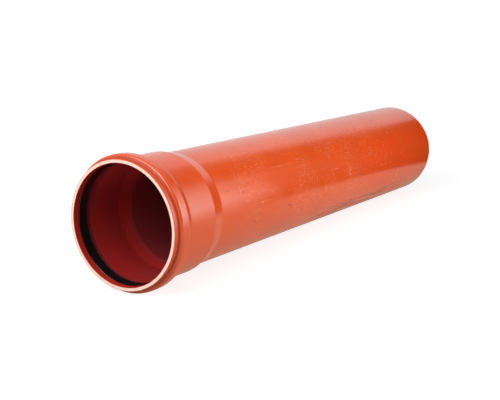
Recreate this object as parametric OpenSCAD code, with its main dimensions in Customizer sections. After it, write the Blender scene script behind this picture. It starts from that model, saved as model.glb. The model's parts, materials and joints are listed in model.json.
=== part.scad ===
// Solid-wall PVC-U sewer pipe with a belled socket at one end and a chamfered
// spigot at the other. A rubber lip seal sits in the groove inside the socket's
// bead. The pipe lies on its side, on the bead and on the spigot end, with its
// axis along +X from mouth to spigot and the floor at Z = 0.
// Each section is drawn as [distance from the mouth, radius] and turned once.

/* [Barrel] */
// Outside diameter of the barrel and of the spigot
pipe_od = 110; // [90:1:160]
// Wall thickness of the barrel
pipe_wall = 3.2; // [2.6:0.1:5]
// Laying length, from the shoulder inside the socket to the spigot end
laying_l = 500; // [200:1:3000]

/* [Spigot end] */
// Length of the chamfer along the pipe
chamfer_l = 5; // [3:0.5:12]
// Slope of the chamfer against the axis
chamfer_angle = 15; // [5:1:20]

/* [Socket] */
// Gap all round between the socket bore and a spigot
spigot_gap = 0.2; // [0.1:0.05:1]
// Depth of the socket bore, from the mouth to the shoulder
socket_l = 62; // [50:0.5:120]
// Wall thickness round the socket bore
socket_wall = 2.9; // [2.4:0.1:5]
// Length of the shoulder that narrows the socket to the barrel
shoulder_l = 15; // [10:0.5:30]
// Radius that blends both ends of the shoulder
shoulder_blend = 8; // [2:0.5:20]

/* [Mouth] */
// How much wider the mouth is than the socket bore, in radius
mouth_flare = 0.45; // [0:0.05:1]
// Wall thickness of the mouth
mouth_wall = 3.4; // [2.4:0.1:5]
// Rounding of the rim's edges
rim_edge = 0.4; // [0.1:0.1:1]

/* [Groove and bead] */
// Distance from the mouth to the groove's front corner
groove_start = 6.8; // [5:0.1:15]
// Depth of the groove below the socket bore
groove_depth = 5; // [3:0.1:8]
// Length of the groove's steep front wall, along the pipe
groove_front_l = 2.6; // [1.5:0.1:6]
// Length of the groove's floor
groove_floor_l = 6.2; // [5:0.1:15]
// Length of the groove's sloping back wall
groove_back_l = 8.8; // [4:0.1:20]
// Radius that blends the groove's corners
groove_blend = 1.2; // [0.5:0.1:2]
// Rounding of the corner where the mouth's bore drops into the groove
groove_edge = 0.6; // [0.2:0.1:1]
// Wall thickness of the bead over the groove's floor
bead_wall = 2.7; // [2.2:0.1:5]
// How far the foot of the bead lies ahead of the groove's front corner
bead_lead = 0.9; // [0.5:0.1:2]
// Length of the bead's steep front, along the pipe
bead_front_l = 0.6; // [0.2:0.1:3]
// Radius of the crease at the foot of the bead
bead_foot = 0.5; // [0.2:0.1:1]
// Radius that blends the bead's other corners
bead_blend = 2.5; // [1:0.1:4]

/* [Seal ring] */
// Gap between the ring and the groove
seal_gap = 0.2; // [0.05:0.05:0.5]
// How far the ring's nose stays back from the mouth's bore
nose_inset = 0.4; // [0.1:0.1:1]
// Rounding of the ring's nose
nose_edge = 0.8; // [0.3:0.1:1]
// Length of the ring's root along the groove's floor
root_l = 5; // [3:0.1:6]
// Thickness of the root where the lip leaves it
root_t = 2; // [1:0.1:2.5]
// Length of the hollow behind the nose
hollow_l = 2.4; // [1:0.1:4]
// Depth of the hollow behind the nose
hollow_depth = 0.5; // [0.1:0.1:1]
// Distance from the groove's front corner to the lip's edge
lip_l = 11.4; // [8:0.1:15]
// How far the lip's edge stands inside the socket bore
lip_stand = 0.2; // [0:0.1:2]
// Thickness of the lip at its edge
lip_edge = 0.8; // [0.6:0.1:1.5]
// Rounding of the lip's edge
lip_round = 0.25; // [0.1:0.05:0.3]

/* [Hidden] */
$fn = 180;
arc_steps = 6;

barrel_r = pipe_od / 2;
barrel_bore_r = barrel_r - pipe_wall;
socket_r = barrel_r + spigot_gap;
mouth_r = socket_r + mouth_flare;
groove_r = socket_r + groove_depth;
bead_r = groove_r + bead_wall;
floor_start = groove_start + groove_front_l;
floor_end = floor_start + groove_floor_l;
groove_end = floor_end + groove_back_l;
bead_start = groove_start - bead_lead;
shoulder_end = socket_l + shoulder_l;
pipe_l = socket_l + laying_l;
chamfer_start = pipe_l - chamfer_l;
spigot_end_r = barrel_r - chamfer_l * tan(chamfer_angle);
groove_back_angle = atan(groove_depth / groove_back_l);
shoulder_angle = atan((socket_r - barrel_bore_r) / shoulder_l);
front_angle = atan((groove_r - mouth_r) / groove_front_l);
nose_r = mouth_r + nose_inset;
root_r = groove_r - seal_gap;
lip_s = groove_start + lip_l;
lip_r = socket_r - lip_stand;

// How far past the bore's corner the outside turns, where a wall bends by the angle
function past(wall, angle) = wall * tan(angle / 2);

// Where the ring's front face, parallel to the groove's front wall, passes the radius r
function ring_front(r) =
    groove_start + (r - mouth_r) / tan(front_angle) + seal_gap / sin(front_angle);

function unit(v) = v / norm(v);
function turned(v, a) = [v.x * cos(a) - v.y * sin(a), v.x * sin(a) + v.y * cos(a)];

// Points of the arc of radius r that rounds the corner b on the way from a to c
function corner(a, b, c, r) =
    let (
        back = unit(a - b),
        ahead = unit(c - b),
        half = acos(back * ahead) / 2,
        centre = b + unit(back + ahead) * r / sin(half),
        start = b + back * r / tan(half) - centre,
        sweep = (180 - 2 * half) * sign(cross(back, ahead))
    )
    [for (k = [0:arc_steps]) centre + turned(start, -sweep * k / arc_steps)];

// A closed outline from [x, y, radius] points, with each corner rounded by its radius
function rounded(points) =
    let (n = len(points), at = [for (p = points) [p.x, p.y]])
    [for (i = [0:n - 1]) each points[i][2] == 0 ? [at[i]]
        : corner(at[(i + n - 1) % n], at[i], at[(i + 1) % n], points[i][2])];

// The wall's section: out along the outside, back along the bore
wall_outline = rounded([
    [0, mouth_r + mouth_wall, rim_edge],
    [bead_start, mouth_r + mouth_wall, bead_foot],
    [bead_start + bead_front_l, bead_r, bead_blend],
    [floor_end + past(bead_wall, groove_back_angle), bead_r, bead_blend],
    [groove_end + past(socket_wall, groove_back_angle), socket_r + socket_wall, bead_blend],
    [socket_l + past(socket_wall, shoulder_angle), socket_r + socket_wall, shoulder_blend],
    [shoulder_end + past(pipe_wall, shoulder_angle), barrel_r, shoulder_blend],
    [chamfer_start, barrel_r, 0],
    [pipe_l, spigot_end_r, 0],
    [pipe_l, barrel_bore_r, 0],
    [shoulder_end, barrel_bore_r, shoulder_blend],
    [socket_l, socket_r, shoulder_blend],
    [groove_end, socket_r, groove_blend],
    [floor_end, groove_r, groove_blend],
    [floor_start, groove_r, groove_blend],
    [groove_start, mouth_r, groove_edge],
    [0, mouth_r, rim_edge],
]);

// The ring's section: a root on the groove's floor, and a lip that leans in and back
seal_outline = rounded([
    [ring_front(nose_r), nose_r, nose_edge],
    [ring_front(root_r), root_r, groove_blend],
    [ring_front(root_r) + root_l, root_r, nose_edge],
    [ring_front(root_r) + root_l, root_r - root_t, nose_edge],
    [lip_s, lip_r + lip_edge, lip_round],
    [lip_s, lip_r, lip_round],
    [ring_front(nose_r) + hollow_l, nose_r + hollow_depth, nose_edge],
]);

// Lying on a level floor, the pipe touches it at the bead and at the spigot
rest_tilt = atan((bead_r - barrel_r) / (chamfer_start - floor_end));
rest_height = max([for (p = wall_outline) p.x * sin(rest_tilt) + p.y * cos(rest_tilt)]);
reach_back = min([for (p = wall_outline) p.x * cos(rest_tilt) - p.y * sin(rest_tilt)]);
reach_ahead = max([for (p = wall_outline) p.x * cos(rest_tilt) + p.y * sin(rest_tilt)]);

// Turns a section about the pipe's axis and lays it down in its place
module turned_and_laid(outline) {
    translate([-(reach_back + reach_ahead) / 2, 0, rest_height])
        rotate([0, 90 + rest_tilt, 0])
            rotate_extrude()
                polygon([for (p = outline) [p.y, p.x]]);
}

module pipe() {
    color("chocolate") turned_and_laid(wall_outline);
}

module seal_ring() {
    color("black") turned_and_laid(seal_outline);
}

pipe();
seal_ring();
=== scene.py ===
"""The looks of a DN/OD 110 sewer pipe with a belled socket, lying on a pale floor.

The pipe and its seal are turned again, more finely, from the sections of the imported
CAD nodes. A place on the pipe is given by s, the distance from the mouth along the
pipe's axis, and by turn, the angle about the axis: 0 is up, and 90 degrees is the side
at -Y. Lengths are in metres, but the methods of a Surface take millimetres and degrees.
"""

import json
import math

import bmesh
import bpy
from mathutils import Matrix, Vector


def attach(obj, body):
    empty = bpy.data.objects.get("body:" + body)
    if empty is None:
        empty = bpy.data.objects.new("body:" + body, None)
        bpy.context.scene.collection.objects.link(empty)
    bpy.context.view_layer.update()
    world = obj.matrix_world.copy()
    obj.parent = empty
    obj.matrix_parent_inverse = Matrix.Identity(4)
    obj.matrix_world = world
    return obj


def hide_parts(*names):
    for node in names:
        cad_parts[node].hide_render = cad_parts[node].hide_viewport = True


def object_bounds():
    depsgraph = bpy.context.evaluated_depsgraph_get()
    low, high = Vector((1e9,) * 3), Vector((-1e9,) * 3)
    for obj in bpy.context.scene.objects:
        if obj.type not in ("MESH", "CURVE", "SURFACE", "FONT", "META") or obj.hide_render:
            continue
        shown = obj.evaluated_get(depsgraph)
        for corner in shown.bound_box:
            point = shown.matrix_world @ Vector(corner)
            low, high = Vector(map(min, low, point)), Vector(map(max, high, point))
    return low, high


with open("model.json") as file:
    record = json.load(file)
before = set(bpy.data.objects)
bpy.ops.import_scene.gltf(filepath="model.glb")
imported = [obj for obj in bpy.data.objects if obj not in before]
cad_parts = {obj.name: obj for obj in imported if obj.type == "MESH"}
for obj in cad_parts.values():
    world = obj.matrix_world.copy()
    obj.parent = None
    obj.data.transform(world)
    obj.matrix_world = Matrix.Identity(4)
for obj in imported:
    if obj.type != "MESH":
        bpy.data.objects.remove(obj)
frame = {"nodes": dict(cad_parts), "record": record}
cad_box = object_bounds()

MM = 0.001
SCENE = bpy.context.scene

# ---------------------------------------------------------------- where the pipe lies


def named_mount(name):
    return next(m for m in frame["record"]["mounts"] if m["name"] == name)


FLOW = named_mount("flow_bore")
ALONG = Vector(FLOW["axis"]).normalized()
UP = (Vector((0, 0, 1)) - ALONG * ALONG.z).normalized()
SIDE = ALONG.cross(UP)
BARREL_R = named_mount("spigot")["dims"]["r_mm"] * MM
SOCKET_R = named_mount("socket")["dims"]["r_mm"] * MM


def along_axis(point):
    return (point - Vector(FLOW["pos_m"])).dot(ALONG)


PIPE_VERTICES = frame["nodes"]["pipe"].data.vertices
MOUTH_S = min(along_axis(v.co) for v in PIPE_VERTICES)
PIPE_L = max(along_axis(v.co) for v in PIPE_VERTICES) - MOUTH_S
MOUTH = Vector(FLOW["pos_m"]) + ALONG * MOUTH_S


def place(s, radius, turn):
    """The point at the distance s from the mouth, at that radius and angle about the axis."""
    outward = UP * math.cos(turn) + SIDE * math.sin(turn)
    return MOUTH + ALONG * s + outward * radius


# ---------------------------------------------------------------- turned pieces

SEGMENTS = 288
LONGEST_STEP = 12 * MM
CORNER_STEP = 0.25 * MM
SAME_POINT = 0.01 * MM


def section(node):
    """The closed outline that a CAD node is turned from, as (s, radius) points in order.

    The node's mesh has one row of vertices straight below the axis, which is followed
    from edge to edge.
    """
    mesh = frame["nodes"][node].data
    keys, points, beside = {}, {}, {}
    for vertex in mesh.vertices:
        offset = vertex.co - MOUTH
        s = offset.dot(ALONG)
        outward = offset - ALONG * s
        if abs(outward.dot(SIDE)) < SAME_POINT and outward.dot(UP) < 0:
            key = (round(s / SAME_POINT), round(outward.length / SAME_POINT))
            keys[vertex.index] = key
            points[key] = (s, outward.length)
    for edge in mesh.edges:
        a, b = (keys.get(i) for i in edge.vertices)
        if a and b and a != b:
            beside.setdefault(a, set()).add(b)
            beside.setdefault(b, set()).add(a)
    start = min(points)
    outline, last, here = [], None, start
    while here != start or not outline:
        outline.append(points[here])
        last, here = here, next(k for k in sorted(beside[here]) if k != last)
    return outline


def spaced(outline):
    """The outline with its long runs divided, and with a point close to each end of a run,
    so that shading turns only at the corner."""
    dense = []
    for (s0, r0), (s1, r1) in zip(outline, outline[1:] + outline[:1]):
        length = math.hypot(s1 - s0, r1 - r0)
        shares = [0.0]
        if length > 4 * CORNER_STEP:
            inner = length - 2 * CORNER_STEP
            steps = math.ceil(inner / LONGEST_STEP)
            shares += [(CORNER_STEP + inner * k / steps) / length for k in range(steps + 1)]
        dense += [(s0 + (s1 - s0) * share, r0 + (r1 - r0) * share) for share in shares]
    return dense


def turned(name, node, materials, zones=None):
    """The CAD node's section turned about the pipe's axis, standing for the node.

    Its map "around" holds s and the way round the barrel from the top, both in metres,
    with its seam straight below the axis. The function zones gives the material of each
    step of the outline, as a place in materials.
    """
    outline = spaced(section(node))
    zone = zones(outline) if zones else [0] * len(outline)
    mesh = bmesh.new()
    turns = [2 * math.pi * k / SEGMENTS - math.pi for k in range(SEGMENTS + 1)]
    rings = [[mesh.verts.new(place(s, r, t)) for t in turns[:-1]] for s, r in outline]
    layer = mesh.loops.layers.uv.new("around")
    count = len(outline)
    for i in range(count):
        j = (i + 1) % count
        for k in range(SEGMENTS):
            n = (k + 1) % SEGMENTS
            face = mesh.faces.new((rings[i][k], rings[i][n], rings[j][n], rings[j][k]))
            face.smooth = True
            face.material_index = zone[i]
            corners = ((i, k), (i, k + 1), (j, k + 1), (j, k))
            for loop, (ring, step) in zip(face.loops, corners):
                loop[layer].uv = (outline[ring][0], turns[step] * BARREL_R)
    bmesh.ops.recalc_face_normals(mesh, faces=mesh.faces)
    data = bpy.data.meshes.new(name)
    mesh.to_mesh(data)
    mesh.free()
    for material in materials:
        data.materials.append(material)
    piece = bpy.data.objects.new(name, data)
    SCENE.collection.objects.link(piece)
    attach(piece, "root")
    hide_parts(node)


# ---------------------------------------------------------------- shader nodes


def feed(tree, socket, value):
    """Links value to the socket if it is another node's output, and else sets it."""
    if isinstance(value, bpy.types.NodeSocket):
        tree.links.new(value, socket)
    else:
        socket.default_value = value


def blank_material(name):
    material = bpy.data.materials.new(name)
    material.use_nodes = True
    tree = material.node_tree
    return material, tree, tree.nodes["Principled BSDF"]


def chained(tree, kind, *values):
    """One Math operation, applied to the values from the first to the last."""
    total = values[0]
    for value in values[1:]:
        node = tree.nodes.new("ShaderNodeMath")
        node.operation = kind
        feed(tree, node.inputs[0], total)
        feed(tree, node.inputs[1], value)
        total = node.outputs[0]
    return total


def ramp(tree, value, start, end, low, high):
    """A smooth change from low to high while the value goes from start to end."""
    node = tree.nodes.new("ShaderNodeMapRange")
    node.interpolation_type = "SMOOTHSTEP"
    feed(tree, node.inputs["Value"], value)
    node.inputs["From Min"].default_value = start
    node.inputs["From Max"].default_value = end
    node.inputs["To Min"].default_value = low
    node.inputs["To Max"].default_value = high
    return node.outputs["Result"]


def scaled(tree, vector, *scales):
    """The vector times the three scales."""
    node = tree.nodes.new("ShaderNodeVectorMath")
    node.operation = "MULTIPLY"
    tree.links.new(vector, node.inputs[0])
    node.inputs[1].default_value = scales
    return node.outputs[0]


def length(tree, vector):
    node = tree.nodes.new("ShaderNodeVectorMath")
    node.operation = "LENGTH"
    tree.links.new(vector, node.inputs[0])
    return node.outputs["Value"]


def noise(tree, vector, detail):
    """Soft noise about 0.5, with one wave to each unit of the vector."""
    node = tree.nodes.new("ShaderNodeTexNoise")
    tree.links.new(vector, node.inputs["Vector"])
    node.inputs["Scale"].default_value = 1.0
    node.inputs["Detail"].default_value = detail
    return node.outputs["Fac"]


def mixed(tree, share, under, over):
    """A colour between under and over."""
    node = tree.nodes.new("ShaderNodeMix")
    node.data_type = "RGBA"
    feed(tree, node.inputs["Factor"], share)
    feed(tree, node.inputs["A"], under)
    feed(tree, node.inputs["B"], over)
    return node.outputs["Result"]


def bumped(tree, shader, height):
    """Lets a height in metres disturb the shading."""
    node = tree.nodes.new("ShaderNodeBump")
    node.inputs["Distance"].default_value = 1.0
    feed(tree, node.inputs["Height"], height)
    tree.links.new(node.outputs["Normal"], shader.inputs["Normal"])


# A mark's edge is shifted by noise of that many waves to the metre
RAGGED_WAVES = 300
RAGGED_SHIFT = 0.8 * MM
# Where a mark's fading starts and ends, as shares of its half sizes
MARK_FADE = (0.4, 1.1)


class Surface:
    """A material with the places that its marks are drawn from. Its methods take lengths
    in millimetres and angles in degrees."""

    def __init__(self, name):
        self.material, self.tree, self.shader = blank_material(name)
        uv_map = self.tree.nodes.new("ShaderNodeUVMap")
        uv_map.uv_map = "around"
        self.around = uv_map.outputs["UV"]
        self.point = self.tree.nodes.new("ShaderNodeTexCoord").outputs["Object"]
        split = self.tree.nodes.new("ShaderNodeSeparateXYZ")
        self.tree.links.new(self.around, split.inputs[0])
        self.s, self.way_round = split.outputs["X"], split.outputs["Y"]

    def sum(self, *values):
        return chained(self.tree, "ADD", *values)

    def product(self, *values):
        return chained(self.tree, "MULTIPLY", *values)

    def most(self, *values):
        return chained(self.tree, "MAXIMUM", *values)

    def cells(self, long, wide, detail=2.0):
        """Noise with waves of those lengths along the pipe and round it."""
        waves = scaled(self.tree, self.around, 1 / (long * MM), 1 / (wide * MM), 1)
        return noise(self.tree, waves, detail)

    def clouds(self, size, detail=3.0):
        """Noise in space, with waves of that size."""
        waves = 1 / (size * MM)
        return noise(self.tree, scaled(self.tree, self.point, waves, waves, waves), detail)

    def over(self, value, start, end):
        """0 where the value is under start, rising to 1 at end."""
        return ramp(self.tree, value, start, end, 0, 1)

    def between(self, value, start, end, fade, unit):
        """1 while the value goes from start to end, fading outside them. The unit is what
        1 of start, end and fade means in the value."""
        rise = self.over(value, (start - fade) * unit, start * unit)
        fall = ramp(self.tree, value, end * unit, (end + fade) * unit, 1, 0)
        return self.product(rise, fall)

    def stretch(self, start, end, fade):
        """1 from start to end along the pipe."""
        return self.between(self.s, start, end, fade, MM)

    def band(self, start, end, fade):
        """1 from start to end round the pipe, from the top."""
        return self.between(self.way_round, start, end, fade, math.radians(1) * BARREL_R)

    def mark(self, s, turn, long, wide, lean):
        """A soft oval at s and turn, with ragged edges and those half sizes. It is long
        along the pipe, and leans from there by the angle."""
        ragged = self.tree.nodes.new("ShaderNodeTexNoise")
        ragged.inputs["Scale"].default_value = RAGGED_WAVES
        self.tree.links.new(self.around, ragged.inputs["Vector"])
        shift = scaled(self.tree, ragged.outputs["Color"], RAGGED_SHIFT, RAGGED_SHIFT, 0)
        near = self.tree.nodes.new("ShaderNodeVectorMath")
        self.tree.links.new(self.around, near.inputs[0])
        self.tree.links.new(shift, near.inputs[1])
        oval = self.tree.nodes.new("ShaderNodeMapping")
        oval.vector_type = "TEXTURE"
        self.tree.links.new(near.outputs[0], oval.inputs["Vector"])
        oval.inputs["Location"].default_value = (s * MM, math.radians(turn) * BARREL_R, 0)
        oval.inputs["Rotation"].default_value = (0, 0, math.radians(lean))
        oval.inputs["Scale"].default_value = (long * MM, wide * MM, 1)
        return ramp(self.tree, length(self.tree, oval.outputs[0]), *MARK_FADE, 1, 0)

    def layered(self, colour, *coats):
        """The colour under its coats, each a share and a colour, from below."""
        for share, over in coats:
            colour = mixed(self.tree, share, colour, over)
        return colour

    def finished(self, colour, roughness, ior, *heights):
        """The material with its colour, its roughness and the bump of its heights."""
        self.tree.links.new(colour, self.shader.inputs["Base Color"])
        self.tree.links.new(roughness, self.shader.inputs["Roughness"])
        self.shader.inputs["IOR"].default_value = ior
        bumped(self.tree, self.shader, self.sum(*heights))
        return self.material


# ---------------------------------------------------------------- materials

PVC_IOR = 1.54
RUBBER_IOR = 1.52
USUAL_SPECULAR = 0.5

PALE_MARKS = (
    # s, turn, half length, half width, lean
    (113, 52, 13, 0.5, 84),
    (118, 60, 11, 0.5, 98),
    (112, 70, 6, 0.5, 75),
    (188, 56, 22, 0.5, 2),
    (166, 47, 9, 0.5, 96),
    (150, 87, 35, 0.4, 0),
    (256, 85, 6, 0.7, 92),
    (261, 86, 5, 0.6, 90),
    (333, 84, 8, 2.4, 90),
    (462, 107, 8, 3.0, 100),
    (418, 88, 12, 0.8, 3),
    (300, 76, 10, 0.7, 0),
    (420, 57, 8, 0.7, 6),
)
DARK_MARKS = (
    (93, 67, 1.4, 0.9, 0),
    (116, 72, 2.4, 0.7, 10),
    (200, 100, 3.6, 1.0, 12),
    (134, 105, 1.8, 0.8, 20),
    (537, 115, 2.0, 1.6, 0),
    (268, 118, 1.4, 0.8, 0),
)

# Stretches along the pipe: start and end in mm from the mouth, and the fade in mm
PAST_END = 600
LIP = (0.3, 5.6, 0.4)
# The next two are where the bead's creases are painted darker, as shade
BEAD_FOOT = (5.7, 6.0, 0.4)
BEAD_TAIL = (24.8, 25.6, 0.6)
HELD = (130, 470, 60)
LOW_PATCHES = (300, 480, 50)
FAR_PART = (430, PAST_END, 110)
MOUTH_BORE = (0, 6.4, 0.6)
SEAL_EDGE = (17.5, 18.3, 0.5)
SOCKET_BORE = (30, 78, 12)
SHOULDER_START = (50, 62, 14)
BARREL_BORE = (80, PAST_END, 12)

# Bands round the pipe: start and end in degrees from the top, and the fade in degrees
HELD_SIDE = (35, 112, 25)
# The side of the far part that is painted a deeper orange, in place of weaker sheen
LESS_SHEEN_SIDE = (62, 112, 22)
DUSTY_SIDE = (95, 175, 30)
LOW_PATCH_SIDE = (126, 150, 8)
TOP_EDGE = (-40, 2, 8)
BORE_TOP = (-45, 45, 35)

ORANGE = (0.74, 0.081, 0.009, 1)
BRIGHT_ORANGE = (0.82, 0.093, 0.010, 1)
STREAK_ORANGE = (0.55, 0.045, 0.007, 1)
# Painted shade: the lip is a darker orange, as if in the bead's shadow
LIP_SHADE_ORANGE = (0.62, 0.055, 0.002, 1)
# Painted shade: a deeper orange for the far part's side, standing in for weaker sheen
LESS_SHEEN_ORANGE = (0.80, 0.058, 0.002, 1)
# Painted shade for the far part's top edge
TOP_SHADE_ORANGE = (0.45, 0.05, 0.008, 1)
# Painted shade for the creases at the bead's foot and tail
CREASE_SHADE_BROWN = (0.16, 0.018, 0.006, 1)
SCUFF_PINK = (1.0, 0.40, 0.22, 1)
DUST_BROWN = (0.45, 0.20, 0.12, 1)
LOW_PATCH_GREY = (0.18, 0.08, 0.075, 1)
SPECK_BROWN = (0.10, 0.02, 0.015, 1)

# Painted shade: the bore's red is darker and redder than the outside's orange
BORE_SHADE_RED = (0.44, 0.022, 0.021, 1)
FILM_RED = (0.39, 0.025, 0.026, 1)
STREAK_RED = (0.25, 0.018, 0.014, 1)
SPECKLE_RED = (0.60, 0.12, 0.09, 1)
# Painted light for the bore near the mouth
MOUTH_LIT_RED = (0.60, 0.036, 0.017, 1)
# Painted shade for the bore just before the shoulder
SHOULDER_SHADE_RED = (0.10, 0.012, 0.012, 1)
# Painted shade for the bore deep in the barrel
DEEP_SHADE_RED = (0.20, 0.040, 0.046, 1)
# Painted light for the top of the socket's bore
TOP_LIGHT_RED = (0.75, 0.07, 0.07, 1)
SHADE_RED = (0.06, 0.004, 0.004, 1)

CUT_PINK = (1.0, 0.70, 0.57, 1)
CUT_PALE = (1.0, 0.77, 0.66, 1)
CUT_GRAIN = (0.80, 0.42, 0.28, 1)
CUT_NICK = (0.80, 0.25, 0.10, 1)

BLACK = (0.005, 0.005, 0.006, 1)
DUSTY_BLACK = (0.012, 0.011, 0.012, 1)
# Painted highlight for the seal lip's edge
EDGE_GLINT_BROWN = (0.12, 0.07, 0.055, 1)


def pvc_outside():
    """Orange, streaked along the pipe. It has the wear of handling all round, and more of
    it on the side at -Y. Painted shade darkens the bead's creases, the lip and the far
    part's top edge, and paints the far part's side a deeper orange in place of sheen."""
    skin = Surface("pvc_outside")
    held = skin.stretch(*HELD)
    handled = skin.most(skin.product(held, skin.band(*HELD_SIDE)), skin.product(held, 0.4))
    worn = skin.over(skin.clouds(32), 0.34, 0.58)
    scuffs = skin.product(skin.over(skin.cells(9, 1.8), 0.50, 0.68), worn)
    rubs = skin.product(skin.over(skin.cells(2.0, 8), 0.54, 0.68), worn)
    hairs = skin.over(skin.cells(45, 0.8, 1.0), 0.58, 0.76)
    pale = skin.most(*(skin.mark(*numbers) for numbers in PALE_MARKS))
    dark = skin.most(*(skin.mark(*numbers) for numbers in DARK_MARKS))
    pale = skin.product(pale, ramp(skin.tree, skin.cells(2.5, 2.5), 0.35, 0.6, 0.25, 1))
    wear = skin.sum(
        skin.product(scuffs, handled, 0.16),
        skin.product(rubs, handled, 0.12),
        skin.product(hairs, 0.055),
        skin.product(pale, 0.34),
    )
    # Greyer, duller patches low on the side at -Y, 300 to 480 mm from the mouth
    low_patches = skin.product(
        skin.stretch(*LOW_PATCHES), skin.band(*LOW_PATCH_SIDE), skin.over(skin.cells(46, 6), 0.44, 0.62)
    )
    dust = skin.product(skin.band(*DUSTY_SIDE), skin.over(skin.clouds(22), 0.45, 0.75))
    lip = skin.stretch(*LIP)
    far = skin.stretch(*FAR_PART)
    # Painted shade: the creases at the bead's foot and tail are darkened
    crease_shade = skin.sum(
        skin.product(skin.stretch(*BEAD_FOOT), 0.45),
        skin.product(skin.stretch(*BEAD_TAIL), 0.25),
    )
    colour = skin.layered(
        mixed(skin.tree, skin.over(skin.clouds(70), 0.3, 0.7), ORANGE, BRIGHT_ORANGE),
        (skin.product(skin.cells(120, 1.4, 3.0), 0.20), STREAK_ORANGE),
        (wear, SCUFF_PINK),
        (skin.product(dust, 0.10), DUST_BROWN),
        (skin.product(low_patches, 0.45), LOW_PATCH_GREY),
        # Painted shade on the lip, standing in for the bead's shadow
        (skin.product(lip, 0.5), LIP_SHADE_ORANGE),
        # Painted shade: the far part's side is a deeper orange in place of weaker sheen
        (skin.product(far, skin.band(*LESS_SHEEN_SIDE), 0.5), LESS_SHEEN_ORANGE),
        # Painted shade: the far part's top edge is darker
        (skin.product(far, skin.band(*TOP_EDGE), 0.35), TOP_SHADE_ORANGE),
        (crease_shade, CREASE_SHADE_BROWN),
        (skin.product(dark, 0.75), SPECK_BROWN),
    )
    roughness = skin.sum(
        0.15,
        skin.product(skin.clouds(30), 0.08),
        skin.product(skin.cells(90, 1.2), 0.06),
        skin.product(wear, 0.08),
        skin.product(low_patches, 0.15),
        skin.product(lip, 0.22),
    )
    return skin.finished(
        colour, roughness, PVC_IOR,
        skin.product(skin.clouds(55, 1.0), 0.12 * MM),
        skin.product(skin.cells(80, 1.6), 0.004 * MM),
        skin.product(skin.clouds(2.2), 0.006 * MM),
        skin.product(pale, -0.02 * MM),
        skin.product(dark, -0.03 * MM),
    )


def pvc_inside(name, shade, gloss):
    """The bore's red, painted darker than the outside as shade: lighter near the mouth and at
    the top of the socket's bore as painted light, darker before the shoulder and deep in
    the barrel as painted shade, and darkened by the shade, a painted shade, with that
    share of the usual gloss.
    """
    skin = Surface(name)
    film = skin.over(skin.clouds(26), 0.42, 0.70)
    streaks = skin.cells(70, 1.8, 3.0)
    speckles = skin.over(skin.cells(6, 1.5), 0.60, 0.75)
    colour = skin.layered(
        # The bore's base is painted darker as shade
        mixed(skin.tree, film, BORE_SHADE_RED, FILM_RED),
        (skin.product(streaks, 0.30), STREAK_RED),
        (skin.product(speckles, film, 0.20), SPECKLE_RED),
        # Painted light: the bore near the mouth is a lighter orange-red
        (skin.product(skin.stretch(*MOUTH_BORE), 0.8), MOUTH_LIT_RED),
        # Painted shade: the bore just before the shoulder is darker
        (skin.product(skin.stretch(*SHOULDER_START), 0.14), SHOULDER_SHADE_RED),
        # Painted shade: the bore deep in the barrel is darker
        (skin.product(skin.stretch(*BARREL_BORE), 0.6), DEEP_SHADE_RED),
        # Painted light: the top of the socket's bore is lighter
        (skin.product(skin.band(*BORE_TOP), skin.stretch(*SOCKET_BORE), 0.6), TOP_LIGHT_RED),
        # Painted shade, as much as the argument gives
        (shade, SHADE_RED),
    )
    roughness = skin.sum(0.28, skin.product(film, 0.10), skin.product(streaks, 0.08))
    skin.shader.inputs["Specular IOR Level"].default_value = USUAL_SPECULAR * gloss
    return skin.finished(
        colour, roughness, PVC_IOR,
        skin.product(skin.clouds(45, 1.0), 0.07 * MM),
        skin.product(skin.cells(60, 1.8), 0.006 * MM),
        skin.product(skin.clouds(2.0), 0.008 * MM),
    )


def pvc_cut():
    """The paler, duller faces where the pipe was cut, with grain and nicks."""
    skin = Surface("pvc_cut")
    grain = skin.clouds(1.1, 4.0)
    nicks = skin.over(skin.clouds(2.4), 0.62, 0.72)
    colour = skin.layered(
        mixed(skin.tree, skin.over(skin.clouds(9), 0.35, 0.65), CUT_PINK, CUT_PALE),
        (skin.product(grain, 0.18), CUT_GRAIN),
        (skin.product(nicks, 0.55), CUT_NICK),
    )
    return skin.finished(
        colour, skin.sum(0.48, skin.product(grain, 0.25)), PVC_IOR,
        skin.product(grain, 0.05 * MM),
        skin.product(skin.cells(50, 0.6), 0.03 * MM),
    )


def rubber():
    """Smooth black with a little dust, and a paler edge to the lip, a painted highlight."""
    skin = Surface("rubber")
    dust = skin.over(skin.clouds(7), 0.45, 0.75)
    colour = skin.layered(
        mixed(skin.tree, skin.product(dust, 0.5), BLACK, DUSTY_BLACK),
        # Painted highlight along the lip's edge
        (skin.product(skin.stretch(*SEAL_EDGE), 0.5), EDGE_GLINT_BROWN),
    )
    roughness = skin.sum(0.14, skin.product(dust, 0.12), skin.product(skin.clouds(1.5), 0.06))
    return skin.finished(
        colour, roughness, RUBBER_IOR,
        skin.product(skin.clouds(14, 1.0), 0.03 * MM),
        skin.product(skin.clouds(0.8), 0.001 * MM),
    )


OUTSIDE, INSIDE, CUT, GROOVE = range(4)
GROOVE_S = 6.5 * MM
GROOVE_R = SOCKET_R + 0.02 * MM


def pipe_zones(outline):
    """The material of each step of the pipe's outline, which starts at the inner edge of
    the mouth's rim and runs along the outside first. The groove is what lies deeper than
    the socket's bore, past the mouth."""
    far = max(range(len(outline)), key=lambda i: outline[i][0])
    zones = [OUTSIDE if i < far else INSIDE for i in range(len(outline))]
    for i, (here, ahead) in enumerate(zip(outline, outline[1:] + outline[:1])):
        if i >= far and here[0] > GROOVE_S and max(here[1], ahead[1]) > GROOVE_R:
            zones[i] = GROOVE
        square = abs(here[0] - ahead[0]) < SAME_POINT
        if square and (here[0] < SAME_POINT or here[0] > PIPE_L - SAME_POINT):
            zones[i] = CUT
    return zones


# ---------------------------------------------------------------- floor and world

WHITE = (1, 1, 1, 1)
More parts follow.
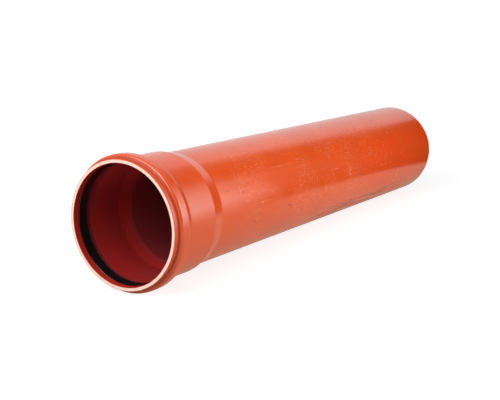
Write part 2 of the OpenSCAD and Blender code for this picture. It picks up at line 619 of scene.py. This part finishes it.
# Painted reflection of the orange pipe on the floor near it, for gloss
BOUNCE_WARM_WHITE = (1, 0.70, 0.48, 1)
FLOOR_WHITE = 0.40
FLOOR_SIZE = 30.0
# How strong the glow beside the pipe is for the camera, and for gloss and glass: a painted shadow
FLOOR_SEEN = 0.80
FLOOR_GLOSS = 0.48
# From where to where it rises to 1, in metres from the middle of the floor
SEEN_RANGE = (0.15, 0.9)
GLOSS_RANGE = (0.12, 0.6)
# That distance counts less along X, where the pipe lies
FLOOR_SCALES = (0.7, 1, 1)
# The world's strength for rays other than those of the camera, gloss and glass
AMBIENT = 0.215


def floor_material():
    """White, with a glow that only the camera, gloss and glass see. Near the pipe the
    glow is dimmer, a painted shadow, and for gloss it is warmer too, a painted
    reflection of the orange pipe."""
    material, tree, shader = blank_material("floor")
    tree.nodes.remove(shader)
    white = tree.nodes.new("ShaderNodeBsdfDiffuse")
    white.inputs["Color"].default_value = (FLOOR_WHITE, FLOOR_WHITE, FLOOR_WHITE, 1)
    point = tree.nodes.new("ShaderNodeTexCoord").outputs["Object"]
    away = length(tree, scaled(tree, point, *FLOOR_SCALES))
    rays = tree.nodes.new("ShaderNodeLightPath").outputs
    # Painted shadow: the glow is dimmer near the pipe
    seen = ramp(tree, away, *SEEN_RANGE, FLOOR_SEEN, 1.0)
    gloss = ramp(tree, away, *GLOSS_RANGE, FLOOR_GLOSS, 1.0)
    level = chained(
        tree, "ADD",
        chained(tree, "MULTIPLY", rays["Is Camera Ray"], seen),
        chained(tree, "MULTIPLY", rays["Is Glossy Ray"], gloss),
        chained(tree, "MULTIPLY", rays["Is Transmission Ray"], gloss),
    )
    # Painted reflection: for gloss, the floor near the pipe is warmer
    near = ramp(tree, away, *GLOSS_RANGE, 1, 0)
    bounce_warmth = chained(tree, "MULTIPLY", rays["Is Glossy Ray"], near)
    glow = tree.nodes.new("ShaderNodeEmission")
    feed(tree, glow.inputs["Strength"], level)
    feed(tree, glow.inputs["Color"], mixed(tree, bounce_warmth, WHITE, BOUNCE_WARM_WHITE))
    both = tree.nodes.new("ShaderNodeAddShader")
    tree.links.new(white.outputs[0], both.inputs[0])
    tree.links.new(glow.outputs[0], both.inputs[1])
    tree.links.new(both.outputs[0], tree.nodes["Material Output"].inputs["Surface"])
    return material


def make_floor():
    data = bpy.data.meshes.new("floor")
    z = cad_box[0].z
    signs = ((-1, -1), (1, -1), (1, 1), (-1, 1))
    corners = [(x * FLOOR_SIZE, y * FLOOR_SIZE, z) for x, y in signs]
    data.from_pydata(corners, [], [(0, 1, 2, 3)])
    data.materials.append(floor_material())
    floor = bpy.data.objects.new("floor", data)
    SCENE.collection.objects.link(floor)


def make_world():
    """White, at full strength for the camera, gloss and glass, and dim for other rays."""
    world = bpy.data.worlds.new("studio")
    SCENE.world = world
    world.use_nodes = True
    tree = world.node_tree
    background = tree.nodes["Background"]
    background.inputs["Color"].default_value = WHITE
    rays = tree.nodes.new("ShaderNodeLightPath").outputs
    names = ("Is Camera Ray", "Is Glossy Ray", "Is Transmission Ray")
    seen = chained(tree, "MAXIMUM", *(rays[name] for name in names))
    feed(tree, background.inputs["Strength"], ramp(tree, seen, 0, 1, AMBIENT, 1.0))


# ---------------------------------------------------------------- lamps and cards


def direction(azimuth, elevation):
    """The unit vector towards an azimuth from +X and an elevation, in degrees."""
    a, e = math.radians(azimuth), math.radians(elevation)
    return Vector((math.cos(a) * math.cos(e), math.sin(a) * math.cos(e), math.sin(e)))


def softbox(name, aim, azimuth, elevation, distance, width, height, radiance, spread=180):
    """A rectangular soft light that faces the point aim; radiance 1 looks white. A grid
    narrows its beam to the spread in degrees."""
    data = bpy.data.lights.new(name, "AREA")
    data.shape = "RECTANGLE"
    data.size = width
    data.size_y = height
    data.spread = math.radians(spread)
    data.energy = radiance * math.pi * width * height
    if spread < 180:
        half = math.radians(spread / 2)
        data.energy *= 1 - half / math.tan(half)
    lamp = bpy.data.objects.new(name, data)
    towards = direction(azimuth, elevation)
    lamp.location = Vector(aim) + towards * distance
    lamp.rotation_euler = towards.to_track_quat("Z", "Y").to_euler()
    SCENE.collection.objects.link(lamp)
    return lamp


def make_lamps():
    """Two gridded lamps on the camera's side, and a wide one before the mouth with a
    small bright one in it that only gloss shows."""
    softbox("key", aim=(-0.16, 0, 0.06), azimuth=-42, elevation=21, distance=1.1,
            width=0.45, height=0.8, radiance=2.0, spread=76)
    softbox("side", aim=(-0.12, 0, 0.06), azimuth=-64, elevation=10, distance=1.0,
            width=0.55, height=0.6, radiance=10.0, spread=74)
    softbox("front", aim=(-0.25, 0, 0.06), azimuth=176, elevation=38, distance=1.5,
            width=1.6, height=1.2, radiance=4.1)
    glint = softbox("glint", aim=(-0.25, 0, 0.06), azimuth=182, elevation=42, distance=1.5,
                    width=0.5, height=0.4, radiance=8)
    glint.visible_diffuse = False


def dark_card(name, corners, faces):
    """A black card as a studio's unlit side. The camera and diffuse rays don't see it,
    and it casts no shadow, so only gloss shows it."""
    data = bpy.data.meshes.new(name)
    data.from_pydata(corners, [], faces)
    material, tree, shader = blank_material(name)
    shader.inputs["Base Color"].default_value = (0.02, 0.02, 0.02, 1)
    shader.inputs["Roughness"].default_value = 1.0
    shader.inputs["Specular IOR Level"].default_value = 0.0
    data.materials.append(material)
    card = bpy.data.objects.new(name, data)
    card.visible_camera = False
    card.visible_diffuse = False
    card.visible_shadow = False
    SCENE.collection.objects.link(card)


def make_dark_cards():
    """The first card stands on the floor beside the pipe's far half, on the camera's side,
    and leans away from it with a fold. The other stands behind the camera."""
    foot = [(0.10, -0.22, 0.001), (0.62, 0.03, 0.001)]
    fold = [(1.1, -0.09, 0.5), (0.9, -0.75, 0.6)]
    upper = [(2.0, 0.30, 1.95), (1.3, -1.15, 1.45)]
    dark_card("flag", foot + fold + upper, [(0, 1, 2, 3), (3, 2, 4, 5)])
    foot = [(-1.55, -0.35, 0.001), (0.05, -1.7, 0.001)]
    top = [(0.05, -1.2, 1.6), (-1.2, -0.3, 1.6)]
    dark_card("dark_side", foot + top, [(0, 1, 2, 3)])


# ---------------------------------------------------------------- camera

LENS_MM = 70.4
SENSOR_MM = 36.0
CAMERA_FROM_MOUTH = (-0.637866, -0.5455, 0.206177)
CAMERA_AZIMUTH = 32.80
CAMERA_DROP = 12.40


def make_camera():
    """The camera looks along its azimuth from +X, down by its drop, both in degrees."""
    data = bpy.data.cameras.new("camera")
    data.lens = LENS_MM
    data.sensor_width = SENSOR_MM
    data.clip_end = 100.0
    camera = bpy.data.objects.new("camera", data)
    back = -direction(CAMERA_AZIMUTH, -CAMERA_DROP)
    camera.location = MOUTH + Vector(CAMERA_FROM_MOUTH)
    camera.rotation_euler = back.to_track_quat("Z", "Y").to_euler()
    SCENE.collection.objects.link(camera)
    SCENE.camera = camera


# ---------------------------------------------------------------- the scene

make_camera()
make_floor()
make_world()
make_dark_cards()
make_lamps()

# In the order of OUTSIDE, INSIDE, CUT and GROOVE
PIPE_MATERIALS = (
    pvc_outside(),
    pvc_inside("pvc_inside", shade=0, gloss=1),
    pvc_cut(),
    # The groove is the bore's material with painted shade and less gloss
    pvc_inside("pvc_groove", shade=0.42, gloss=0.16),
)
turned("pipe_turned", "pipe", PIPE_MATERIALS, pipe_zones)
turned("seal_turned", "seal_ring", (rubber(),))

SCENE.view_settings.view_transform = "Standard"
